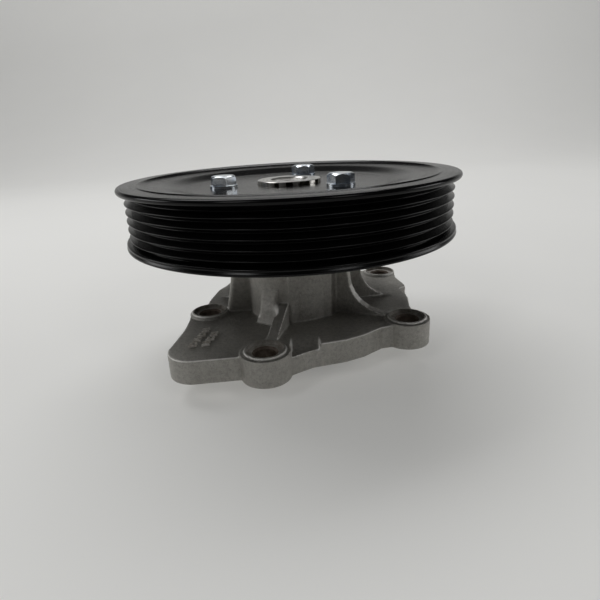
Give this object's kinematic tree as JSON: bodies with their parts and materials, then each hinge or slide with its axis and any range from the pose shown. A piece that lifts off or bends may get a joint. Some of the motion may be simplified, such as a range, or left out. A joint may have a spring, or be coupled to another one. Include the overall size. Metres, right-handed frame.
{
  "type": "engine water pump",
  "caption": "Engine water pump: cast aluminium housing with a bolt-on flange, a shaft bearing and seal, an open impeller, and a ribbed black belt pulley on three screws.",
  "frame": {"origin": "on the shaft axis, in the plane of the mounting face, at the root of the locating spigot", "axes": "+Z along the shaft towards the pulley; -Y towards the front mounting boss, +X to the right seen from there"},
  "size_m": [0.1482, 0.1482, 0.085],
  "materials": {
    "cast_aluminium": "sand-textured die casting with machined seats",
    "black_paint": "semi-gloss black paint on formed steel",
    "zinc_plate": "bluish bright zinc plating",
    "hub_steel": "turned steel, lightly oiled",
    "turned_steel": "ground and turned steel",
    "bearing_steel": "polished bearing steel",
    "spring_steel": "drawn stainless wire",
    "seal_brass": "drawn brass",
    "seal_rubber": "moulded black rubber",
    "cage_nylon": "moulded nylon",
    "carbon": "lapped carbon graphite",
    "ceramic": "lapped alumina ceramic",
    "impeller_plastic": "glass-filled moulded plastic"
  },
  "bodies": {
    "pump_body": {"housing": "cast_aluminium", "housing_o_ring": "seal_rubber", "bearing_outer_ring": "bearing_steel", "bearing_seal_front": "seal_rubber", "bearing_seal_rear": "seal_rubber", "seal_case": "seal_brass", "seal_bellows": "seal_rubber", "seal_spring": "spring_steel", "carbon_ring": "carbon"},
    "rotor": {"pump_shaft": "turned_steel", "shaft_slinger": "turned_steel", "mating_ring": "ceramic", "mating_ring_cup": "seal_rubber", "impeller_bush": "seal_brass", "impeller": "impeller_plastic", "pulley_hub": "hub_steel", "pulley": "black_paint", "pulley_washers": "zinc_plate", "pulley_bolts": "zinc_plate"},
    "roller_set": {"bearing_rollers": "bearing_steel", "roller_cage": "cage_nylon"},
    "ball_set": {"bearing_balls": "bearing_steel", "ball_cage": "cage_nylon"}
  },
  "joints": [
    {"name": "rotor_spin", "type": "hinge", "parent": "pump_body", "child": "rotor", "pos_m": [0, 0, 0.03], "axis": [0, 0, 1], "continuous": true},
    {"name": "roller_set_spin", "type": "hinge", "parent": "pump_body", "child": "roller_set", "pos_m": [0, 0, 0.0462], "axis": [0, 0, 1], "continuous": true},
    {"name": "ball_set_spin", "type": "hinge", "parent": "pump_body", "child": "ball_set", "pos_m": [0, 0, 0.0258], "axis": [0, 0, 1], "continuous": true}
  ],
  "couplings": [
    {"joint": "roller_set_spin", "follows": "rotor_spin", "ratio": 0.3909},
    {"joint": "ball_set_spin", "follows": "rotor_spin", "ratio": 0.3638}
  ]
}
